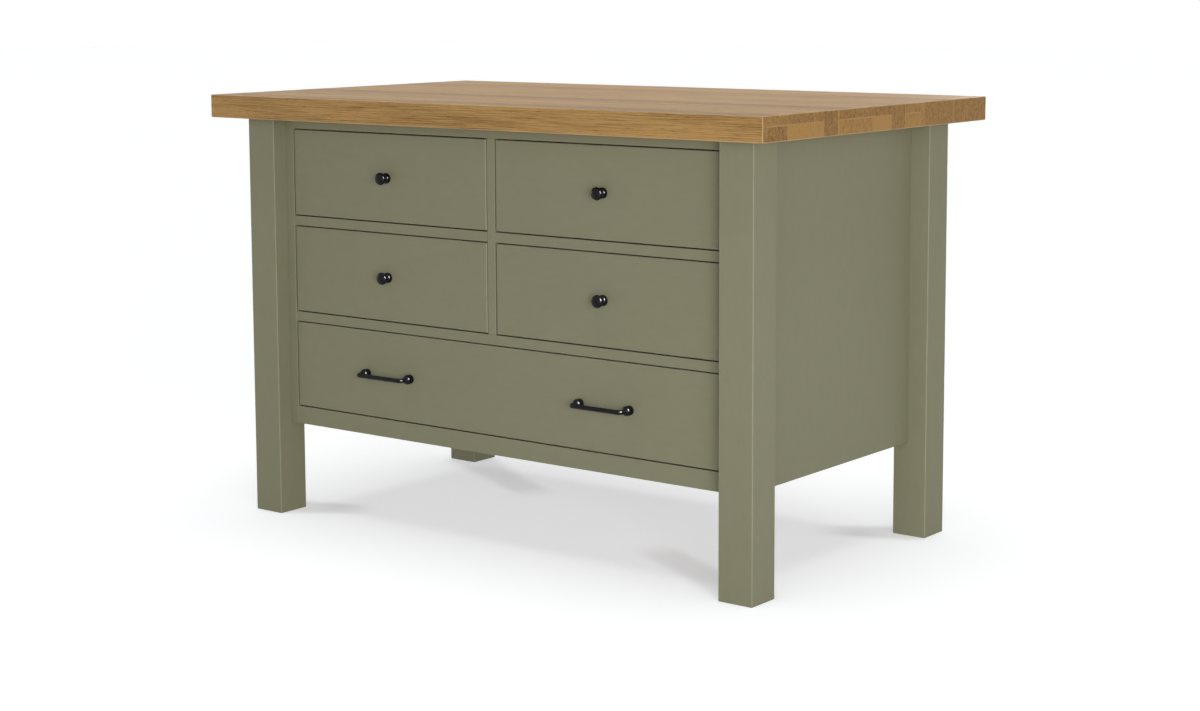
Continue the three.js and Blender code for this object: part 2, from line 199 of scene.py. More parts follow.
def timber_group():
    """Solid timber, sawn from a log whose pith runs along X: growth rings, pores and drifting tone."""
    tree, given, made = new_group(
        "timber",
        [
            ("Place", "Vector", (0, 0, 0)), ("Pith", "Vector", (0, 0, 0)), ("Tone", "Float", 0.0),
            ("End", "Float", 0.0), ("Ring width", "Float", 3.0), ("Ring contrast", "Float", 0.5),
            ("Pore contrast", "Float", 0.5), ("Patchiness", "Float", 0.3), ("Streaks", "Float", 0.3),
            ("Pale", "Color", (1, 1, 1, 1)), ("Dark", "Color", (0, 0, 0, 1)),
            ("End colour", "Color", (0, 0, 0, 1)),
        ],
        [("Color", "Color"), ("Height", "Float"), ("Open pores", "Float")],
    )
    place = vector_maths(tree, "ADD", given["Place"], given["Pith"])

    # Growth rings round the pith, which wanders along the log.
    wander = stretched_noise(tree, place, (1.1, 7.0, 7.0), output="Color")
    shift = vector_maths(tree, "SUBTRACT", wander, (0.5, 0.5, 0.5))
    shift = vector_maths(tree, "MULTIPLY", shift, (0.0, 0.03, 0.03))
    from_pith = vector_maths(tree, "MULTIPLY", vector_maths(tree, "ADD", place, shift), (0.0, 1.0, 1.0))
    radius = vector_maths(tree, "LENGTH", from_pith, output="Value")
    rings = maths(tree, "DIVIDE", times(tree, radius, 1000.0), given["Ring width"])
    uneven = stretched_noise(tree, place, (1.5, 60.0, 60.0), roughness=0.6)
    rings = maths(tree, "ADD", rings, times(tree, uneven, 2.2))
    wave = maths(tree, "SINE", times(tree, rings, 2 * math.pi))
    late = maths(tree, "POWER", spread(tree, wave, -0.9, 1.0), 1.6)

    # Fibres, pores, patches and streaks, all drawn out along the grain.
    fibres = stretched_noise(tree, place, (14.0, 700.0, 700.0), detail=3.0, roughness=0.65)
    fibre = spread(tree, fibres, 0.3, 0.7)
    dashes = stretched_noise(tree, place, (60.0, 1500.0, 1500.0), detail=1.0)
    pores = times(tree, spread(tree, dashes, 0.58, 0.68), maths(tree, "ADD", 0.35, late))
    patches = stretched_noise(tree, place, (2.5, 22.0, 22.0))
    patch = spread(tree, patches, 0.3, 0.7, -0.5, 0.5)
    bands = stretched_noise(tree, place, (10.0, 430.0, 430.0), detail=4.0, roughness=0.7)
    streak = spread(tree, bands, 0.34, 0.66, -0.5, 0.5)
    darkness = total(
        tree, (late, given["Ring contrast"]), (fibre, 0.2), (patch, given["Patchiness"]),
        (streak, given["Streaks"]), (pores, given["Pore contrast"]),
    )
    darkness = maths(tree, "ADD", darkness, given["Tone"], use_clamp=True)
    colour = blend_colours(tree, darkness, given["Pale"], given["Dark"])

    # The end grain shows the rings, open pores as specks, and rays.
    speck = spread(tree, noise(tree, place, 900.0, detail=1.0), 0.45, 0.7)
    rays = stretched_noise(tree, place, (1.0, 270.0, 110.0), detail=3.0, roughness=0.65)
    ray = spread(tree, rays, 0.32, 0.68, -0.34, 0.34)
    end_dark = maths(tree, "ADD", total(tree, (late, 0.3), (speck, 0.2)), ray)
    end_dark = maths(tree, "ADD", end_dark, times(tree, given["Tone"], 2.0), use_clamp=True)
    end_colour = blend_colours(tree, end_dark, given["End colour"], given["Dark"])
    colour = blend_colours(tree, given["End"], colour, end_colour)
    height = maths(tree, "SUBTRACT", times(tree, fibre, 0.3), pores)
    tree.links.new(colour, made["Color"])
    tree.links.new(height, made["Height"])
    tree.links.new(pores, made["Open pores"])
    return tree


def brushwork_group():
    """Paint laid on with a brush along X: fine strokes, broader runs, and tone that drifts."""
    tree, given, made = new_group(
        "brushwork",
        [("Place", "Vector", (0, 0, 0))],
        [("Tone", "Float"), ("Height", "Float")],
    )
    place = given["Place"]
    strokes = stretched_noise(tree, place, (40.0, 900.0, 900.0), detail=3.0, roughness=0.6)
    stroke = spread(tree, strokes, 0.3, 0.7)
    broad = stretched_noise(tree, place, (30.0, 60.0, 60.0))
    cloud = noise(tree, place, 3.0, detail=3.0, roughness=0.55)
    tone = total(tree, (stroke, 0.25), (broad, 0.35), (cloud, 0.4))
    peel = noise(tree, place, 420.0)
    height = maths(tree, "ADD", stroke, times(tree, peel, 0.7))
    tree.links.new(tone, made["Tone"])
    tree.links.new(height, made["Height"])
    return tree


def arris_wear_and_highlight_group():
    """How far an arris is drawn paler, where 1 marks the arris: patchy rubbing, which the paint also uses
    as a painted highlight along its arrises, with a few small nicks.
    """
    tree, given, made = new_group(
        "rubbed and highlit arris",
        [("Place", "Vector", (0, 0, 0)), ("Arris", "Float", 0.0)],
        [("Rubbed and highlit", "Float"), ("Nicks", "Float")],
    )
    patches = noise(tree, given["Place"], 22.0, detail=3.0, roughness=0.6)
    rubbed = spread(tree, patches, 0.25, 0.6, 0.45, 1.0)
    chips = noise(tree, given["Place"], 75.0, detail=1.0)
    nicks = spread(tree, chips, 0.76, 0.78)
    tree.links.new(times(tree, rubbed, given["Arris"]), made["Rubbed and highlit"])
    tree.links.new(times(tree, nicks, given["Arris"]), made["Nicks"])
    return tree


TIMBER = timber_group()
BRUSHWORK = brushwork_group()
ARRIS_WEAR_AND_HIGHLIGHT = arris_wear_and_highlight_group()

# ------------------------------------------------------------------ materials

PAINT_DEEP = srgb(128, 127, 103)
PAINT_PALE = srgb(134, 133, 109)
# Paler paint along the arrises: partly rubbing, partly a painted highlight.
PAINT_RUBBED_AND_HIGHLIT = srgb(160, 160, 138)
PAINT_CHIP = srgb(190, 178, 150)
TIMBER_RUBBED = srgb(240, 222, 190)
PLY = 1.5 * MM      # thickness of one ply

# Turns that lay the grain, which runs along X in the groups, along the axis of a piece.
GRAIN_TURN = {"x": (0, 0, 0), "y": (0, 0, -math.pi / 2), "z": (0, math.pi / 2, 0)}


def new_material(name):
    material = bpy.data.materials.new(name)
    material.use_nodes = True
    tree = material.node_tree
    return material, tree, tree.nodes["Principled BSDF"]


def places(tree, along):
    """The object's coordinates as they are, and turned so that the grain runs along X."""
    plain = object_place(tree)
    turned = add(tree, "ShaderNodeMapping", {"Vector": plain, "Rotation": GRAIN_TURN[along]}).outputs[0]
    return plain, turned


def facing(tree, axis):
    """How squarely the surface faces along an axis, either way."""
    normal = add(tree, "ShaderNodeTexCoord").outputs["Normal"]
    return maths(tree, "ABSOLUTE", part_of(tree, normal, axis))


def end_mask(tree, along):
    """1 on the faces that cut across the grain."""
    return spread(tree, facing(tree, along), 0.6, 0.8)


def bump(tree, height, distance):
    """A normal for a surface with a relief this deep, in metres."""
    return add(tree, "ShaderNodeBump", {"Height": height, "Distance": distance, "Strength": 1.0}).outputs[0]


def painted_wood(along):
    """Matt sage-green paint, brushed along the board, a little paler along the arrises: partly rubbing,
    partly a painted highlight.
    """
    material, tree, shader = new_material(f"sage_paint_{along}")
    plain, turned = places(tree, along)
    brush = put(tree, BRUSHWORK, {"Place": turned})
    arris_wear_and_highlight = put(tree, ARRIS_WEAR_AND_HIGHLIGHT, {"Place": plain, "Arris": attribute(tree, "arris")})
    tone = spread(tree, brush["Tone"], 0.3, 0.7)
    paint = blend_colours(tree, tone, PAINT_DEEP, PAINT_PALE)
    # Painted highlight and rubbing along the arrises.
    paint = blend_colours(tree, times(tree, arris_wear_and_highlight["Rubbed and highlit"], 0.5), paint, PAINT_RUBBED_AND_HIGHLIT)
    paint = blend_colours(tree, arris_wear_and_highlight["Nicks"], paint, PAINT_CHIP)
    feed(tree, shader, {
        "Base Color": paint,
        "Roughness": spread(tree, brush["Tone"], 0.3, 0.7, 0.50, 0.60),
        "Specular IOR Level": 0.2,
        "Normal": bump(tree, brush["Height"], 0.04 * MM),
    })
    return material


def bare_timber(name, along, figure, rough, gloss, relief):
    """Unpainted timber, its grain along one axis. figure holds the timber group's numbers and colours."""
    material, tree, shader = new_material(f"{name}_{along}")
    turned = places(tree, along)[1]
    wood = put(tree, TIMBER, {
        "Place": turned, "Pith": attribute(tree, "pith", "Vector"), "Tone": attribute(tree, "tone"),
        "End": end_mask(tree, along), **figure,
    })
    arris_wear_and_highlight = put(tree, ARRIS_WEAR_AND_HIGHLIGHT, {"Place": turned, "Arris": attribute(tree, "arris")})
    bright = blend_colours(tree, 0.35, figure["Pale"], TIMBER_RUBBED)
    colour = blend_colours(tree, times(tree, arris_wear_and_highlight["Rubbed and highlit"], 0.6), wood["Color"], bright)
    feed(tree, shader, {
        "Base Color": colour,
        "Roughness": spread(tree, wood["Open pores"], 0.0, 1.0, rough, rough + 0.15),
        "Specular IOR Level": gloss,
        "Normal": bump(tree, wood["Height"], relief),
    })
    return material


def oak(along):
    """The worktop's oak, oiled."""
    figure = {
        "Ring width": 3.8, "Ring contrast": 0.16, "Pore contrast": 0.4, "Patchiness": 0.4, "Streaks": 0.66,
        "Pale": srgb(174, 137, 83), "Dark": srgb(88, 58, 24), "End colour": srgb(164, 125, 69),
    }
    return bare_timber("oiled_oak", along, figure, rough=0.5, gloss=0.2, relief=0.08 * MM)


def beech(along):
    """The drawer boxes' and runners' beech, planed and left bare."""
    figure = {
        "Ring width": 4.5, "Ring contrast": 0.3, "Pore contrast": 0.18, "Patchiness": 0.25, "Streaks": 0.3,
        "Pale": srgb(222, 196, 156), "Dark": srgb(168, 130, 88), "End colour": srgb(196, 162, 118),
    }
    return bare_timber("planed_beech", along, figure, rough=0.55, gloss=0.4, relief=0.04 * MM)


def plywood():
    """Birch plywood: broad rotary-cut figure on the faces, and stripes of plies on the edges."""
    material, tree, shader = new_material("birch_plywood")
    place = object_place(tree)
    figure = spread(tree, stretched_noise(tree, place, (3.0, 22.0, 22.0), 4.0, 0.55), 0.3, 0.7)
    fibres = stretched_noise(tree, place, (20.0, 600.0, 600.0), 2.0, 0.6)
    face = blend_colours(tree, figure, srgb(214, 190, 156), srgb(190, 160, 122))
    face = blend_colours(tree, spread(tree, fibres, 0.45, 0.8, 0.0, 0.35), face, srgb(150, 118, 84))
    wave = maths(tree, "SINE", times(tree, part_of(tree, place, "z"), math.pi / PLY))
    plies = blend_colours(tree, spread(tree, wave, -0.3, 0.3), srgb(206, 178, 140), srgb(140, 104, 70))
    feed(tree, shader, {
        "Base Color": blend_colours(tree, spread(tree, facing(tree, "z"), 0.4, 0.6), plies, face),
        "Roughness": 0.6,
        "Normal": bump(tree, fibres, 0.04 * MM),
    })
    return material


def black_iron():
    """Black enamel on cast knobs and handles: dark, smooth, with a faint pebbled skin."""
    material, tree, shader = new_material("black_iron")
    place = object_place(tree)
    pebble = noise(tree, place, 700.0, 2.0, 0.55)
    cloud = noise(tree, place, 90.0, 3.0, 0.6)
    feed(tree, shader, {
        "Base Color": blend_colours(tree, spread(tree, cloud, 0.35, 0.7), srgb(1, 1, 2), srgb(2, 2, 3)),
        "Roughness": spread(tree, cloud, 0.3, 0.7, 0.2, 0.26),
        "Specular IOR Level": 0.16,
        "Normal": bump(tree, pebble, 0.01 * MM),
    })
    return material


def screw_steel():
    """Blackened steel with fine turning marks."""
    material, tree, shader = new_material("blackened_steel")
    place = object_place(tree)
    marks = noise(tree, place, 2500.0, 2.0, 0.6)
    cloud = noise(tree, place, 300.0)
    feed(tree, shader, {
        "Base Color": blend_colours(tree, cloud, srgb(92, 92, 94), srgb(60, 60, 62)),
        "Roughness": spread(tree, marks, 0.3, 0.7, 0.25, 0.45),
        "Metallic": 1.0,
        "Normal": bump(tree, marks, 0.02 * MM),
    })
    return material


PAINT = {along: painted_wood(along) for along in "xz"}
OAK = oak("x")
BEECH = {along: beech(along) for along in "xy"}
PLYWOOD = plywood()
IRON = black_iron()
STEEL = screw_steel()

# ------------------------------------------------------------------ modelling in general


def only(piece):
    bpy.ops.object.select_all(action="DESELECT")
    piece.select_set(True)
    bpy.context.view_layer.objects.active = piece


def edit(piece, mode):
    """Goes into edit mode with nothing selected. mode is VERT, EDGE or FACE."""
    only(piece)
    bpy.ops.object.mode_set(mode="EDIT")
    bpy.ops.mesh.select_mode(type=mode)
    bpy.ops.mesh.select_all(action="DESELECT")


def done():
    bpy.ops.object.mode_set(mode="OBJECT")


def pick_faces(piece, test):
    """Selects the faces whose middle and normal pass a test, and no others."""
    mesh = bmesh.from_edit_mesh(piece.data)
    mesh.normal_update()
    for face in mesh.faces:
        face.select_set(test(face.calc_center_median(), face.normal))
    mesh.select_flush_mode()
    bmesh.update_edit_mesh(piece.data)


def pick_edges(piece, test):
    """Selects the edges whose middle and direction pass a test, and no others."""
    mesh = bmesh.from_edit_mesh(piece.data)
    for edge in mesh.edges:
        first, second = (v.co for v in edge.verts)
        edge.select_set(test((first + second) / 2, (second - first).normalized()))
    mesh.select_flush_mode()
    bmesh.update_edit_mesh(piece.data)


def along_axis(direction, axis):
    return abs(direction["xyz".index(axis)]) > 0.99


def start_block(name, low, high):
    """A block between two corners, to be shaped further."""
    bpy.ops.object.select_all(action="DESELECT")
    bpy.ops.mesh.primitive_cube_add(size=1, location=(low + high) / 2, scale=high - low)
    piece = bpy.context.object
    piece.name = name
    piece.data.name = name
    bpy.ops.object.transform_apply(location=True, rotation=True, scale=True)
    return piece


def bevel(piece, test, width, segments=3):
    """Rounds the edges that pass a test."""
    edit(piece, "EDGE")
    pick_edges(piece, test)
    bpy.ops.mesh.bevel(offset=width, segments=segments, affect="EDGES")
    done()


def smooth(piece, degrees=35):
    """Shades the curved parts smoothly and keeps the broad faces flat up to their arrises."""
    only(piece)
    bpy.ops.object.shade_smooth_by_angle(angle=math.radians(degrees))
    flats = piece.modifiers.new("broad faces stay flat", "WEIGHTED_NORMAL")
    flats.keep_sharp = True
    bpy.ops.object.modifier_apply(modifier=flats.name)


def mark_faces(piece, name, value_of):
    """Stores a number on every face, worked out from its middle and normal."""
    values = [value_of(face.center, face.normal) for face in piece.data.polygons]
    layer = piece.data.attributes.new(name, "FLOAT", "FACE")
    layer.data.foreach_set("value", values)


def mark_pith(piece, value_of):
    """Stores on every face the shift that makes its place, turned along the grain, count from the pith."""
    layer = piece.data.attributes.new("pith", "FLOAT_VECTOR", "FACE")
    for face in piece.data.polygons:
        layer.data[face.index].vector = value_of(face.center, face.normal)


def is_arris(middle, normal):
    """1 on the narrow slanting faces of an eased edge."""
    return float(max(abs(part) for part in normal) < 0.995)


def random_pith(draw, angle=None):
    """A board sawn from anywhere in a log: the pith 60 to 200 mm away, at a given angle or at any."""
    angle = draw.uniform(0, 2 * math.pi) if angle is None else angle
    distance = draw.uniform(60 * MM, 200 * MM)
    return (draw.uniform(-5, 5), distance * math.cos(angle), distance * math.sin(angle))


def dress(piece, finishes, body, nodes, seed, raw=None):
    """Gives a modelled piece its finish, its board's own grain, and its place in the assembly.

    raw tests which faces take the second finish.
    """
    draw = random.Random(seed)
    for material in finishes:
        piece.data.materials.append(material)
    if raw:
        for face in piece.data.polygons:
            face.material_index = int(raw(face.center, face.normal))
    mark_faces(piece, "arris", is_arris)
    if "tone" not in piece.data.attributes:
        tone = draw.uniform(-0.08, 0.08)
        pith = random_pith(draw)
        mark_faces(piece, "tone", lambda middle, normal: tone)
        mark_pith(piece, lambda middle, normal: pith)
    smooth(piece)
    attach(piece, body)
    if nodes:
        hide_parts(*nodes)
    return piece


# ------------------------------------------------------------------ legs, frame and panels

PAINTED_ARRIS = 1.6 * MM
SMALL_ARRIS = 0.7 * MM
HIDDEN_ARRIS = 0.4 * MM
FOOT_CHAMFER = 1.2 * MM


def leg(node, seed):
    """A square leg with rounded arrises and a chamfered foot."""
    low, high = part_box(node)
    piece = start_block(f"{node}_post", low, high)
    bevel(piece, lambda middle, way: along_axis(way, "z"), PAINTED_ARRIS)
    bevel(piece, lambda middle, way: middle.z < low.z + MM and not along_axis(way, "z"), FOOT_CHAMFER, 2)
    return dress(piece, [PAINT["z"]], "carcass", [node], seed)


def frame_bar(node, axis, seed):
    """A rail or stile: its arrises along the openings are eased, and its back is left bare."""
    low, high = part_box(node)
    piece = start_block(f"{node}_planed", low, high)
    bevel(piece, lambda middle, way: along_axis(way, axis) and middle.y < low.y + MM, SMALL_ARRIS)
    bevel(piece, lambda middle, way: along_axis(way, axis) and middle.y > high.y - MM, HIDDEN_ARRIS, 2)
    finishes = [PAINT[axis], BEECH["x"]]

    def is_back(middle, normal):
        return normal.y > 0.9

    return dress(piece, finishes, "carcass", [node], seed, is_back)


def panel(node, outward, seed):
    """A flat panel with eased lower edges. The side turned into the unit is left bare."""
    low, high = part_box(node)
    piece = start_block(f"{node}_board", low, high)
    bevel(piece, lambda middle, way: middle.z < low.z + MM and not along_axis(way, "z"), SMALL_ARRIS)
    bevel(piece, lambda middle, way: along_axis(way, "z"), HIDDEN_ARRIS, 2)
    finishes = [PAINT["z"], BEECH["y"]]

    def turned_in(middle, normal):
        return normal.dot(outward) < -0.9

    return dress(piece, finishes, "carcass", [node], seed, turned_in)


def eased_copy(node, name, width, segments=2):
    """A jointed board as the frame has it, with its arrises eased."""
    only(frame["nodes"][node])
    bpy.ops.object.duplicate()
    piece = bpy.context.object
    piece.name = name
    piece.data.name = name
    piece.parent = None
    for key in [key for key in piece.keys() if key.startswith("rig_")]:
        del piece[key]          # what ties the CAD node to its body
    piece.data.materials.clear()
    edit(piece, "VERT")
    bpy.ops.mesh.select_all(action="SELECT")
    bpy.ops.mesh.remove_doubles(threshold=0.02 * MM)
    bpy.ops.mesh.dissolve_limited(angle_limit=math.radians(0.5))
    done()
    easing = piece.modifiers.new("eased arrises", "BEVEL")
    easing.width = width
    easing.segments = segments
    easing.limit_method = "ANGLE"
    easing.angle_limit = math.radians(30)
    bpy.ops.object.modifier_apply(modifier=easing.name)
    return piece


def base_panel():
    """The plywood floor of the carcass, notched round the legs, as the frame has it."""
    piece = eased_copy("base_panel", "base_panel_board", 0.5 * MM)
    dress(piece, [PLYWOOD], "carcass", ["base_panel"], 61)


# ------------------------------------------------------------------ runners and kickers

BARE_ARRIS = 0.8 * MM
END_ARRIS = 0.3 * MM
GUIDE_HEIGHT = 25 * MM      # of the strip that guides the drawer side, above the plank that carries it
GUIDE_EDGE = 548 * MM       # from the unit's middle to the inner face of a side guide
CENTRE_GUIDE_HALF = 10 * MM


def raise_guide(piece, edges, is_guide):
    """Cuts a plank lengthways at edges, given as X, and draws up the part that is its guide."""
    edit(piece, "FACE")
    for edge in edges:
        bpy.ops.mesh.select_all(action="SELECT")
        bpy.ops.mesh.bisect(plane_co=(edge, 0, 0), plane_no=(1, 0, 0))
    pick_faces(piece, lambda middle, normal: normal.z > 0.9 and is_guide(middle))
    bpy.ops.mesh.extrude_region_move(TRANSFORM_OT_translate={"value": (0, 0, GUIDE_HEIGHT)})
    done()


def side_runner(node, seed):
    """A plank that carries the drawer side, with an upstand glued along its outer edge."""
    low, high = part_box(node)
    plank_top = high.z - GUIDE_HEIGHT
    piece = start_block(f"{node}_plank", low, Vector((high.x, high.y, plank_top)))
    side = 1 if low.x > 0 else -1
    raise_guide(piece, [side * GUIDE_EDGE], lambda middle: abs(middle.x) > GUIDE_EDGE)

    def is_outer(middle, way):
        below_guide = abs(abs(middle.x) - GUIDE_EDGE) < MM and middle.z < plank_top + MM
        return along_axis(way, "y") and not below_guide

    bevel(piece, is_outer, BARE_ARRIS, 2)
    return dress(piece, [BEECH["y"]], "carcass", [node], seed)


def centre_runner(node, seed):
    """A plank shared by two drawers, with a guide along its middle."""
    low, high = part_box(node)
    piece = start_block(f"{node}_plank", low, Vector((high.x, high.y, high.z - GUIDE_HEIGHT)))
    edges = [-CENTRE_GUIDE_HALF, CENTRE_GUIDE_HALF]
    raise_guide(piece, edges, lambda middle: abs(middle.x) < CENTRE_GUIDE_HALF)

    def is_outer(middle, way):
        below_guide = abs(abs(middle.x) - CENTRE_GUIDE_HALF) < MM and middle.z <= high.z - MM
        return along_axis(way, "y") and not below_guide

    bevel(piece, is_outer, BARE_ARRIS, 2)
    return dress(piece, [BEECH["y"]], "carcass", [node], seed)


def batten(node, body, seed):
    """A planed bar along Y with all its arrises taken off."""
    low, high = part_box(node)
    piece = start_block(f"{node}_batten", low, high)
    bevel(piece, lambda middle, way: along_axis(way, "y"), BARE_ARRIS, 2)
    bevel(piece, lambda middle, way: not along_axis(way, "y"), END_ARRIS, 1)
    return dress(piece, [BEECH["y"]], body, [node], seed)


# ------------------------------------------------------------------ worktop

# The oak is glued up from boards. Their far edges, counted from the drawer side's edge, in millimetres,
# whether a board is glued from an upper and a lower layer, and how dark the board and its lower layer are.
BOARDS = [
    (13, False, 0.1, 0.1),
    (79, True, 0.06, 0.16),
    (168, True, 0.12, -0.1),
    (201, True, 0.08, -0.14),
    (249, False, 0.15, 0.15),
    (253, False, -0.24, -0.24),
    (319, True, 0.12, 0.0),
    (373, True, 0.08, 0.0),
    (442, True, 0.12, -0.2),
    (494, False, 0.1, 0.1),
    (552, True, 0.04, -0.05),
    (568, False, -0.04, -0.04),
    (684, False, 0.08, 0.08),
    (687, False, -0.14, -0.14),
    (820, False, 0.08, 0.08),
]
LAYER_JOINT = 29 * MM       # above the worktop's underside
GLUE_LINE = 2.2 * MM        # a pale line under the joint
GLUE_TONE = -0.32
SEAM = 0.25 * MM            # half the width of the fine groove between two boards
SEAM_DEPTH = 0.15 * MM
TOP_ARRIS = 1.6 * MM
ON_LINE = 0.02 * MM         # what is nearer than this to a cut lies on it


def worktop():
    """Oak boards of many widths, glued side by side, some of them in two layers."""
    low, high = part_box("worktop")
    piece = start_block("worktop_boards", low, high)
    bevel(piece, lambda middle, way: True, TOP_ARRIS)
    seams = [low.y + far * MM for far, *rest in BOARDS[:-1]]
    joint = low.z + LAYER_JOINT

    def board_at(y):
        offset = (y - low.y) / MM
        return next((i for i, (far, *rest) in enumerate(BOARDS) if offset < far), len(BOARDS) - 1)

    def is_layered(y):
        return BOARDS[board_at(y)][1]

    def on_seam(place):
        return min(abs(place.y - seam) for seam in seams) < ON_LINE

    def on_joint(place):
        return abs(place.z - joint) < ON_LINE and abs(abs(place.x) - high.x) < ON_LINE

    edit(piece, "FACE")
    for seam in seams:
        bpy.ops.mesh.select_all(action="SELECT")
        bpy.ops.mesh.bisect(plane_co=(0, seam, 0), plane_no=(0, 1, 0))
    for cut in (joint, joint - GLUE_LINE):
        pick_faces(piece, lambda middle, normal: abs(normal.x) > 0.9 and is_layered(middle.y))
        bpy.ops.mesh.bisect(plane_co=(0, 0, cut), plane_no=(0, 0, 1))
    done()

    def is_groove(middle, way):
        if along_axis(way, "y"):
            return on_joint(middle) and low.y + TOP_ARRIS < middle.y < high.y - TOP_ARRIS
        return on_seam(middle)

    bevel(piece, is_groove, SEAM, 2)
    edit(piece, "VERT")
    mesh = bmesh.from_edit_mesh(piece.data)
    for vertex in mesh.verts:
        vertex.select_set(on_seam(vertex.co) or on_joint(vertex.co))
    mesh.select_flush_mode()
    bmesh.update_edit_mesh(piece.data)
    bpy.ops.transform.shrink_fatten(value=-SEAM_DEPTH)
    done()

    draw = random.Random(7)
    piths = [[random_pith(draw, draw.uniform(-0.7, 0.7)) for _ in range(2)] for _ in BOARDS]
    piths[0] = [random_pith(draw, math.pi / 2 + 0.2)] * 2
    shades = [draw.uniform(-0.2, 0.26) for _ in BOARDS]      # of the boards' broad faces

    def layer_of(middle):
        return int(middle.z < joint and is_layered(middle.y))

    def tone_of(middle, normal):
        if abs(normal.x) > 0.9 and layer_of(middle) and middle.z > joint - GLUE_LINE:
            return GLUE_TONE
        board = board_at(middle.y)
        tone = BOARDS[board][2 + layer_of(middle)]
        if abs(normal.x) > 0.5:
            return tone
        return 0.35 * tone + abs(normal.z) * shades[board]

    def pith_of(middle, normal):
        board = board_at(middle.y)
        return Vector(piths[board][layer_of(middle)]) - Vector((0, low.y + BOARDS[board][0] * MM, joint))

    mark_faces(piece, "tone", tone_of)
    mark_pith(piece, pith_of)
    dress(piece, [OAK], "carcass", ["worktop"], 1)


# ------------------------------------------------------------------ knobs, handles and screws

# Profiles are points (radius, height), from the foot outwards.
KNOB_FOOT = 10.2 * MM       # radius
BARREL = 9.6 * MM           # radius of the barrels at a handle's feet
HANDLE_POST = 60 * MM       # from a handle's middle to its feet
HANDLE_BAR = 4.5 * MM       # radius
HANDLE_STANDOFF = 31 * MM   # from the drawer front to the middle of the bar
HANDLE_BEND = 8 * MM
SCREW_HEAD = 4.2 * MM       # radius
SCREW_RIM = 0.7 * MM
CROSS_WIDTH = 0.9 * MM
CROSS_LENGTH = 4.6 * MM
CROSS_FLOOR = 1.5 * MM      # height of the recess's floor above the head's seat


def disc(name, radius, sides):
    """A filled circle at the origin, in edit mode, with its face selected."""
    bpy.ops.object.select_all(action="DESELECT")
    upright = (math.pi / 2, 0, 0)
    bpy.ops.mesh.primitive_circle_add(vertices=sides, radius=radius, fill_type="NGON", rotation=upright)
    piece = bpy.context.object
    piece.name = name
    piece.data.name = name
    bpy.ops.object.transform_apply(location=True, rotation=True, scale=True)
    bpy.ops.object.mode_set(mode="EDIT")
    bpy.ops.mesh.select_mode(type="FACE")
    bpy.ops.mesh.select_all(action="SELECT")
    return piece


def grow(steps, radius, height=0.0):
    """Draws the selected disc out towards -Y, ring by ring, through (radius, height) steps."""
    for next_radius, next_height in steps:
        bpy.ops.mesh.extrude_region_move(TRANSFORM_OT_translate={"value": (0, height - next_height, 0)})
        share = next_radius / radius
        bpy.ops.transform.resize(value=(share, 1, share), center_override=(0, -next_height, 0))
        radius, height = next_radius, next_height


def arc(centre, size, start, end, count):
    """Points (radius, height) on part of an ellipse, angles in degrees."""
    angles = [math.radians(start + (end - start) * i / count) for i in range(count + 1)]
    return [(centre[0] + size[0] * math.cos(a), centre[1] + size[1] * math.sin(a)) for a in angles]


def close_up(piece):
    """Closes the mesh's open end, joins its doubles and turns its faces outwards."""
    bpy.ops.mesh.select_all(action="SELECT")
    bpy.ops.mesh.remove_doubles(threshold=0.001 * MM)
    bpy.ops.mesh.select_mode(type="EDGE")
    bpy.ops.mesh.select_all(action="DESELECT")
    bpy.ops.mesh.select_non_manifold()
    if any(edge.select for edge in bmesh.from_edit_mesh(piece.data).edges):
        bpy.ops.mesh.edge_face_add()
    bpy.ops.mesh.select_all(action="SELECT")
    bpy.ops.mesh.normals_make_consistent(inside=False)
    done()


def move_to(piece, place):
    piece.location = place
    only(piece)
    bpy.ops.object.transform_apply(location=True, rotation=True, scale=True)


def seat(node):
    """Where a knob or handle stands on its drawer front."""
    low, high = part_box(node)
    return Vector(((low.x + high.x) / 2, high.y, (low.z + high.z) / 2))


def knob(node, body):
    """A mushroom knob on a flared rosette, drawn out ring by ring."""
    piece = disc(f"{node}_cast", KNOB_FOOT, 56)
    foot = arc((10.15 * MM, 0.6 * MM), (0.6 * MM, 0.6 * MM), -60, 0, 3)
    rosette = arc((6.2 * MM, 3.4 * MM), (4.55 * MM, 6.2 * MM), 0, 78, 9)
    waist = [(5.7 * MM, 10.5 * MM), (5.3 * MM, 11.6 * MM), (5.3 * MM, 12.6 * MM)]
    cup = arc((5.2 * MM, 19.6 * MM), (7.55 * MM, 5.9 * MM), -72, 20, 11)
    crown = arc((0.0, 19.6 * MM), (12.9 * MM, 6.9 * MM), 24, 84, 10)
    grow(foot + rosette + waist + cup + crown, KNOB_FOOT)
    close_up(piece)
    move_to(piece, seat(node))
    return dress(piece, [IRON], body, [node], 80)


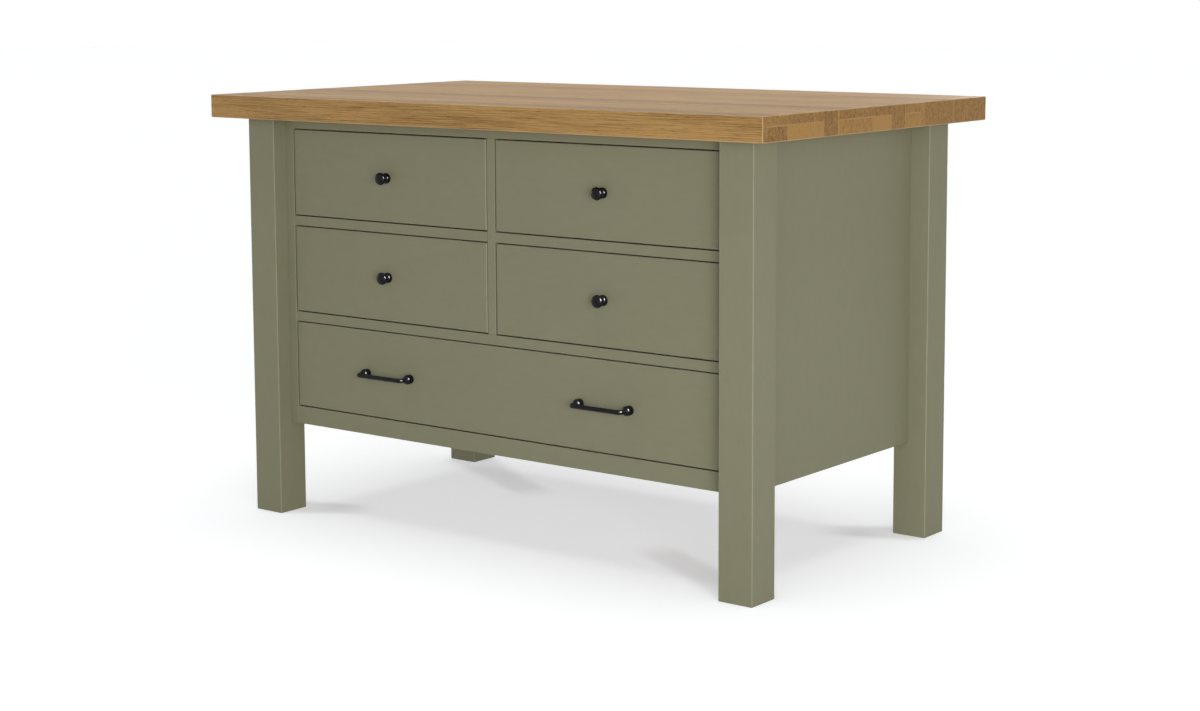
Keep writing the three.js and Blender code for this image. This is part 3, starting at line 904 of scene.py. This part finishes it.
def handle(node, body):
    """A bar handle. One half is drawn out of its barrel and bent round, and mirrored into the other."""
    bend_start = HANDLE_STANDOFF - HANDLE_BEND
    piece = disc(f"{node}_cast", BARREL - 0.5 * MM, 36)
    rim = arc((BARREL - 0.6 * MM, 0.6 * MM), (0.6 * MM, 0.6 * MM), -60, 0, 3)
    barrel = arc((3.4 * MM, 9.4 * MM), (BARREL - 3.4 * MM, 7.4 * MM), 0, 76, 9)
    neck = [(3.8 * MM, 17.6 * MM), (3.6 * MM, 18.8 * MM), (3.8 * MM, 20.2 * MM)]
    flare = [(4.3 * MM, 21.8 * MM), (HANDLE_BAR, bend_start)]
    grow(rim + barrel + neck + flare, BARREL - 0.5 * MM)
    bpy.ops.mesh.delete(type="ONLY_FACE")
    pick_edges(piece, lambda middle, way: abs(middle.y + bend_start) < 0.01 * MM and abs(way.y) < 0.5)
    bpy.ops.mesh.spin(steps=9, angle=math.pi / 2, center=(HANDLE_BEND, -bend_start, 0), axis=(0, 0, -1))
    bpy.ops.mesh.extrude_region_move(TRANSFORM_OT_translate={"value": (HANDLE_POST - HANDLE_BEND, 0, 0)})
    done()
    move_to(piece, Vector((-HANDLE_POST, 0, 0)))
    mirror = piece.modifiers.new("other half", "MIRROR")
    mirror.use_axis = (True, False, False)
    mirror.merge_threshold = 0.01 * MM
    bpy.ops.object.modifier_apply(modifier=mirror.name)
    edit(piece, "FACE")
    close_up(piece)
    move_to(piece, seat(node))
    return dress(piece, [IRON], body, [node], 80)


def screw_head(name, body, place, way):
    """A raised cross-head screw. way is the direction that its head looks, along an axis."""
    piece = disc(name, SCREW_HEAD, 28)
    dome = arc((0.0, SCREW_RIM), (SCREW_HEAD, 2.0 * MM), 15, 82, 6)
    grow([(SCREW_HEAD, SCREW_RIM)] + dome, SCREW_HEAD)
    close_up(piece)
    for width, length in ((CROSS_WIDTH, CROSS_LENGTH), (CROSS_LENGTH, CROSS_WIDTH)):
        cutter_low = Vector((-width / 2, -4 * MM, -length / 2))
        cutter = start_block("slot_cutter", cutter_low, Vector((width / 2, -CROSS_FLOOR, length / 2)))
        only(piece)
        recess = piece.modifiers.new("recess", "BOOLEAN")
        recess.operation = "DIFFERENCE"
        recess.object = cutter
        recess.solver = "EXACT"
        bpy.ops.object.modifier_apply(modifier=recess.name)
        bpy.data.objects.remove(cutter)
    piece.rotation_mode = "QUATERNION"
    piece.rotation_quaternion = Vector((0, -1, 0)).rotation_difference(way)
    move_to(piece, place)
    return dress(piece, [STEEL], body, [], 0)


# ------------------------------------------------------------------ drawers

SMALL_DRAWERS = [f"{row}_{side}_drawer" for row in ("top", "middle") for side in ("left", "right")]
WIDE_DRAWER = "wide_drawer"
FRONT_ARRIS = 0.5 * MM
BOX_ARRIS = 0.25 * MM
PLY_ARRIS = 0.3 * MM
SOCKET_DEPTH = 13.5 * MM    # of the front's dovetail sockets and groove, from its back
TOWARDS_BACK = Vector((0, 1, 0))
DOWN = Vector((0, 0, -1))


def drawer_front(name, seed):
    """The front: painted, but bare on its back, in its groove and in its dovetail sockets."""
    node = f"{name}_front"
    low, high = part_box(node)
    front = eased_copy(node, f"{node}_board", FRONT_ARRIS, 3)

    def is_bare(middle, normal):
        at_end = min(abs(middle.x - low.x), abs(middle.x - high.x)) <= 1 * MM
        in_joint = middle.y > high.y - SOCKET_DEPTH and not at_end and abs(normal.z) < 0.99
        return normal.y > 0.5 or in_joint

    dress(front, [PAINT["x"], BEECH["x"]], name, [node], seed, is_bare)


def drawer_box(name, seed):
    """The two sides, back and bottom of one drawer, jointed as the frame has them, with eased arrises."""
    for part, axis, step in (("side_left", "y", 1), ("side_right", "y", 1), ("back", "x", 2)):
        node = f"{name}_{part}"
        board = eased_copy(node, f"{node}_board", BOX_ARRIS)
        dress(board, [BEECH[axis]], name, [node], seed + step)
    node = f"{name}_bottom"
    low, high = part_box(node)
    bottom = start_block(f"{node}_ply", low, high)
    bevel(bottom, lambda middle, way: True, PLY_ARRIS, 1)
    dress(bottom, [PLYWOOD], name, [node], seed + 3)


def wide_drawer_pulls():
    """Two bar handles, each with a screw behind both its feet."""
    pulls = []
    for side in ("left", "right"):
        node = f"{WIDE_DRAWER}_handle_{side}"
        pulls.append(handle(node, WIDE_DRAWER))
        for number, offset in enumerate((-HANDLE_POST, HANDLE_POST), 1):
            place = screw_seat(WIDE_DRAWER, seat(node).x + offset)
            screw_head(f"{node}_screw_{number}", WIDE_DRAWER, place, TOWARDS_BACK)
    return pulls


def small_drawer_pull(name):
    """One knob, with a screw behind it."""
    low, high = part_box(f"{name}_front")
    pull = knob(f"{name}_knob", name)
    screw_head(f"{name}_knob_screw", name, screw_seat(name, (low.x + high.x) / 2), TOWARDS_BACK)
    return pull


def screw_seat(name, across):
    """A place at half height on the back of a drawer's front."""
    low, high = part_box(f"{name}_front")
    return Vector((across, high.y, (low.z + high.z) / 2))


def bottom_screws(name, count):
    """Screws that hold the bottom up to the drawer's back, evenly spaced."""
    low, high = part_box(f"{name}_back")
    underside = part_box(f"{name}_bottom")[0].z
    for number in range(count):
        across = low.x + (number + 0.5) / count * (high.x - low.x)
        place = Vector((across, (low.y + high.y) / 2, underside))
        screw_head(f"{name}_bottom_screw_{number + 1}", name, place, DOWN)


def drawers():
    """All the drawers. Gives back their knobs and handles."""
    pulls = []
    for index, name in enumerate(SMALL_DRAWERS + [WIDE_DRAWER]):
        drawer_front(name, 100 + 10 * index)
        drawer_box(name, 100 + 10 * index)
        if name == WIDE_DRAWER:
            pulls += wide_drawer_pulls()
            batten(f"{name}_muntin", name, 79)
        else:
            pulls.append(small_drawer_pull(name))
        bottom_screws(name, 4 if name == WIDE_DRAWER else 2)
    return pulls


def carcass():
    """Everything that the drawers slide in, apart from the worktop."""
    for seed, node in enumerate(("leg_front_left", "leg_front_right", "leg_rear_left", "leg_rear_right")):
        leg(node, 20 + seed)
    for seed, node in enumerate(("stile_left", "stile_right", "centre_stile")):
        frame_bar(node, "z", 30 + seed)
    rails = ("top_rail", "bottom_rail", "lower_mid_rail", "upper_mid_rail_left", "upper_mid_rail_right")
    for seed, node in enumerate(rails):
        frame_bar(node, "x", 40 + seed)
    panel("end_panel_left", Vector((-1, 0, 0)), 50)
    panel("end_panel_right", Vector((1, 0, 0)), 51)
    panel("back_panel", Vector((0, 1, 0)), 52)
    base_panel()
    for seed, row in enumerate(("top", "middle", "bottom")):
        for side in ("left", "right"):
            side_runner(f"{row}_runner_{side}", 62 + seed)
    for seed, row in enumerate(("top", "middle")):
        centre_runner(f"{row}_runner_centre", 66 + seed)
    for seed, side in enumerate(("left", "centre", "right")):
        node = f"kicker_{side}"
        batten(node, "carcass", 70 + seed)
        low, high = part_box(node)
        for number, share in enumerate((0.12, 0.5, 0.88)):
            place = Vector(((low.x + high.x) / 2, low.y + share * (high.y - low.y), low.z))
            screw_head(f"{node}_screw_{number + 1}", "carcass", place, DOWN)


# ------------------------------------------------------------------ stage and light

FLOOR_COLOUR = (0.68, 0.66, 0.64, 1)
FLOOR_GLOW = 0.548                      # what the floor gives off by itself where it is seen
GLOW_COLOUR = (0.96, 1, 1.052, 1)       # evens out the tint of the light that the unit throws back

# Painted shadow: streaks drawn into the floor's glow behind the feet. The long ones start at the front
# right foot and its opposite.
LONG_STREAK, SHORT_STREAK = 0.46, 0.23          # metres from the middle of the foot
LONG_STREAK_SHADE, SHORT_STREAK_SHADE = 0.11, 0.15
STREAK_HALF_WIDTH, STREAK_END_HALF_WIDTH = 0.075, 0.06
STREAK_NARROWS = 0.2                            # metres from the foot to where it has its end width
STREAK_ASIDE = 0.012                            # metres that it lies off the line to the unit's middle
STREAK_SIDE_FADE, STREAK_END_FADE = 0.04, 0.13
STREAK_START = (-0.05, 0.01)                    # metres from the foot, from no shade to all of it
AT_AXES = (-0.0001, 0.0001)                     # the change from one quarter of the floor to the next


def painted_foot_shadows(tree):
    """Painted shadow in the floor's glow, standing in for light that comes in low at the unit's corners and
    is kept off by the legs: a streak from each foot inwards.
    """
    low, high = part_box("leg_rear_right")
    foot = Vector(((low.x + high.x) / 2, (low.y + high.y) / 2, 0))
    inward = -foot.normalized()
    crosswise = Vector((inward.y, -inward.x, 0))
    place = object_place(tree)
    quarter = times(tree, part_of(tree, place, "x"), part_of(tree, place, "y"))
    reach = spread(tree, quarter, *AT_AXES, LONG_STREAK, SHORT_STREAK)
    shade = spread(tree, quarter, *AT_AXES, LONG_STREAK_SHADE, SHORT_STREAK_SHADE)
    from_foot = vector_maths(tree, "SUBTRACT", vector_maths(tree, "ABSOLUTE", place), foot)
    along = vector_maths(tree, "DOT_PRODUCT", from_foot, inward, output="Value")
    across = vector_maths(tree, "DOT_PRODUCT", from_foot, crosswise, output="Value")
    half_width = spread(tree, along, 0.0, STREAK_NARROWS, STREAK_HALF_WIDTH, STREAK_END_HALF_WIDTH)
    off_axis = maths(tree, "ABSOLUTE", maths(tree, "ADD", across, STREAK_ASIDE))
    to_side = maths(tree, "SUBTRACT", half_width, off_axis)
    to_end = maths(tree, "SUBTRACT", reach, along)
    side = spread(tree, to_side, 0.0, STREAK_SIDE_FADE, interpolation_type="SMOOTHSTEP")
    end = spread(tree, to_end, 0.0, STREAK_END_FADE, interpolation_type="SMOOTHSTEP")
    start = spread(tree, along, *STREAK_START)
    return times(tree, times(tree, times(tree, side, end), start), shade)


def floor():
    """A white floor that keeps the shadow under the unit, with painted shadow streaks behind the feet drawn
    into its glow.
    """
    bpy.ops.object.select_all(action="DESELECT")
    bpy.ops.mesh.primitive_plane_add(size=60, location=(0, 0, 0))
    ground = bpy.context.object
    ground.name = "floor"
    material, tree, shader = new_material("floor_white")
    tree.nodes.remove(shader)
    lit = add(tree, "ShaderNodeBsdfDiffuse", {"Color": FLOOR_COLOUR}).outputs[0]
    # The glow, less the painted shadow streaks behind the feet.
    strength = times(tree, seen(tree), maths(tree, "SUBTRACT", FLOOR_GLOW, painted_foot_shadows(tree)))
    glow = add(tree, "ShaderNodeEmission", {"Color": GLOW_COLOUR, "Strength": strength}).outputs[0]
    both = add(tree, "ShaderNodeAddShader", {0: lit, 1: glow}).outputs[0]
    tree.links.new(both, tree.nodes["Material Output"].inputs["Surface"])
    ground.data.materials.append(material)
    return ground


# The light of the surroundings: near the horizon towards the front right, near it elsewhere, and above.
BRIGHT_SIDE = 1.95
HORIZON_LIGHT = 0.3
SKY_LIGHT = 0.1
FRONT_RIGHT = (math.sqrt(0.5), -math.sqrt(0.5), 0.0)
BRIGHT_SIDE_EDGE = (0.55, 0.85)     # cosines of the angle from the front right, where its light sets in
HORIZON_EDGE = (0.2, 0.5)           # sines of the height, where the light of the horizon gives way
OVERHEAD_WIDTH = 50                 # degrees
OVERHEAD_POWER = 1.62


def world():
    """White where it is seen. Where it lights, it is brightest near the horizon, to the front right."""
    surroundings = bpy.data.worlds.new("studio")
    bpy.context.scene.world = surroundings
    surroundings.use_nodes = True
    tree = surroundings.node_tree
    direction = add(tree, "ShaderNodeTexCoord").outputs["Generated"]
    rise = maths(tree, "ABSOLUTE", part_of(tree, direction, "z"))
    towards = vector_maths(tree, "DOT_PRODUCT", direction, FRONT_RIGHT, output="Value")
    low_light = spread(tree, towards, *BRIGHT_SIDE_EDGE, HORIZON_LIGHT, BRIGHT_SIDE)
    light = spread(tree, rise, *HORIZON_EDGE, low_light, SKY_LIGHT)
    strength = spread(tree, seen(tree), 0.0, 1.0, light, 1.0)
    feed(tree, tree.nodes["Background"], {"Strength": strength, "Color": (1, 1, 1, 1)})


LAMP_AIM = Vector((0.2, -0.2, 0.5))


def lamp(name, turn, rise, distance, size, power):
    """A soft lamp, turn degrees to the right of the drawer side's middle line, rise degrees up."""
    turn, rise = math.radians(turn), math.radians(rise)
    away = Vector((math.sin(turn) * math.cos(rise), -math.cos(turn) * math.cos(rise), math.sin(rise)))
    data = bpy.data.lights.new(name, "AREA")
    data.shape = "SQUARE"
    data.size = size
    data.energy = power
    light = bpy.data.objects.new(name, data)
    light.location = LAMP_AIM + distance * away
    light.rotation_mode = "QUATERNION"
    light.rotation_quaternion = (-away).to_track_quat("-Z", "Y")
    bpy.context.scene.collection.objects.link(light)
    return light


def overhead():
    """A broad light from straight above."""
    data = bpy.data.lights.new("overhead", "SUN")
    data.angle = math.radians(OVERHEAD_WIDTH)
    data.energy = OVERHEAD_POWER
    light = bpy.data.objects.new("overhead", data)
    light.location = (0, 0, 3)
    bpy.context.scene.collection.objects.link(light)


def light_only(light, pieces, state="INCLUDE"):
    """Keeps a lamp's light to some pieces, or away from them where state is EXCLUDE."""
    receivers = bpy.data.collections.new(f"{light.name}_receivers")
    for piece in pieces:
        receivers.objects.link(piece)
    for entry in receivers.collection_objects:
        entry.light_linking.link_state = state
    light.light_linking.receiver_collection = receivers


def lights(ground, pulls):
    """The lamps. Two of them light the sides that the photo doesn't show, and not the floor."""
    lamp("key", turn=48, rise=4, distance=4.6, size=1.46, power=81)
    lamp("front", turn=18, rise=8, distance=3.6, size=1.6, power=5)
    overhead()
    for name, turn in (("back", 190), ("left", 265)):
        side_lamp = lamp(name, turn, rise=5, distance=4.6, size=1.46, power=110)
        light_only(side_lamp, [ground], "EXCLUDE")
    light_only(lamp("pulls", turn=72, rise=30, distance=3.4, size=1.9, power=1500), pulls)
    rear_leg = lamp("rear_leg", turn=12, rise=6, distance=4.0, size=1.2, power=25)
    light_only(rear_leg, [bpy.data.objects["leg_rear_right_post"]])


# ------------------------------------------------------------------ all together

make_camera()
worktop()
carcass()
pulls = drawers()
ground = floor()
world()
lights(ground, pulls)

bpy.context.scene.view_settings.view_transform = "Standard"
